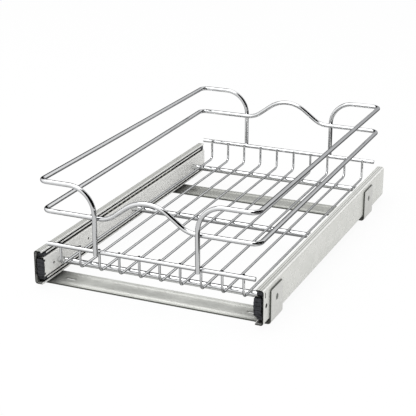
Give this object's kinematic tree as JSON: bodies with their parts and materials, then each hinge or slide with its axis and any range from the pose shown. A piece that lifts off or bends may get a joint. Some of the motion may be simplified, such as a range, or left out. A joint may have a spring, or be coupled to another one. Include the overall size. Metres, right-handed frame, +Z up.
{
  "type": "pull out cabinet basket",
  "caption": "Chromed wire basket on telescopic ball-bearing slides tied by pressed steel braces; it pulls out of a cabinet and has side hoops and a waved middle rail.",
  "frame": {"origin": "under the middle of the unit, on the plane that the braces stand on, with the basket pushed in", "axes": "+Z up; -Y out of the cabinet, the way the basket pulls; X across the unit"},
  "size_m": [0.3148, 0.5008, 0.147],
  "materials": {
    "slide_zinc": "bright zinc plate on cold-rolled steel",
    "inner_zinc": "bright zinc plate on cold-rolled steel",
    "brace_zinc": "dull galvanised sheet",
    "cage_steel": "dark greased cage strip",
    "ball_steel": "polished bearing steel",
    "black_plastic": "black moulded plastic",
    "chrome_wire": "polished chrome plate"
  },
  "bodies": {
    "base": {"outer_member_left": "slide_zinc", "outer_member_right": "slide_zinc", "rear_stop_left": "black_plastic", "rear_stop_right": "black_plastic", "front_brace": "brace_zinc", "rear_brace": "brace_zinc", "brace_rivets": "brace_zinc"},
    "basket": {"inner_member_left": "inner_zinc", "inner_member_right": "inner_zinc", "end_plug_left": "black_plastic", "end_plug_right": "black_plastic", "cross_rod_front": "chrome_wire", "cross_rod_middle": "chrome_wire", "cross_rod_rear": "chrome_wire", "floor_wire_1": "chrome_wire", "floor_wire_2": "chrome_wire", "floor_wire_3": "chrome_wire", "floor_wire_4": "chrome_wire", "floor_wire_5": "chrome_wire", "floor_wire_6": "chrome_wire", "floor_wire_7": "chrome_wire", "floor_wire_8": "chrome_wire", "floor_wire_9": "chrome_wire", "floor_wire_10": "chrome_wire", "front_bar": "chrome_wire", "rear_bar": "chrome_wire", "middle_rail": "chrome_wire", "side_hoop_left": "chrome_wire", "side_hoop_right": "chrome_wire"},
    "mid_left": {"mid_member_left": "slide_zinc", "front_bumper_left": "black_plastic"},
    "outer_cage_left": {"outer_cage_left": "cage_steel", "outer_balls_left": "ball_steel"},
    "inner_cage_left": {"inner_cage_left": "cage_steel", "inner_balls_left": "ball_steel"},
    "mid_right": {"mid_member_right": "slide_zinc", "front_bumper_right": "black_plastic"},
    "outer_cage_right": {"outer_cage_right": "cage_steel", "outer_balls_right": "ball_steel"},
    "inner_cage_right": {"inner_cage_right": "cage_steel", "inner_balls_right": "ball_steel"}
  },
  "joints": [
    {"name": "basket_slide", "type": "slide", "parent": "base", "child": "basket", "axis": [0, -1, 0], "range_m": [0, 0.44]},
    {"name": "mid_left_slide", "type": "slide", "parent": "base", "child": "mid_left", "axis": [0, -1, 0], "range_m": [0, 0.22]},
    {"name": "outer_cage_left_slide", "type": "slide", "parent": "base", "child": "outer_cage_left", "axis": [0, -1, 0], "range_m": [0, 0.11]},
    {"name": "inner_cage_left_slide", "type": "slide", "parent": "base", "child": "inner_cage_left", "axis": [0, -1, 0], "range_m": [0, 0.33]},
    {"name": "mid_right_slide", "type": "slide", "parent": "base", "child": "mid_right", "axis": [0, -1, 0], "range_m": [0, 0.22]},
    {"name": "outer_cage_right_slide", "type": "slide", "parent": "base", "child": "outer_cage_right", "axis": [0, -1, 0], "range_m": [0, 0.11]},
    {"name": "inner_cage_right_slide", "type": "slide", "parent": "base", "child": "inner_cage_right", "axis": [0, -1, 0], "range_m": [0, 0.33]}
  ],
  "couplings": [
    {"joint": "mid_left_slide", "follows": "basket_slide", "ratio": 0.5},
    {"joint": "outer_cage_left_slide", "follows": "basket_slide", "ratio": 0.25},
    {"joint": "inner_cage_left_slide", "follows": "basket_slide", "ratio": 0.75},
    {"joint": "mid_right_slide", "follows": "basket_slide", "ratio": 0.5},
    {"joint": "outer_cage_right_slide", "follows": "basket_slide", "ratio": 0.25},
    {"joint": "inner_cage_right_slide", "follows": "basket_slide", "ratio": 0.75}
  ]
}
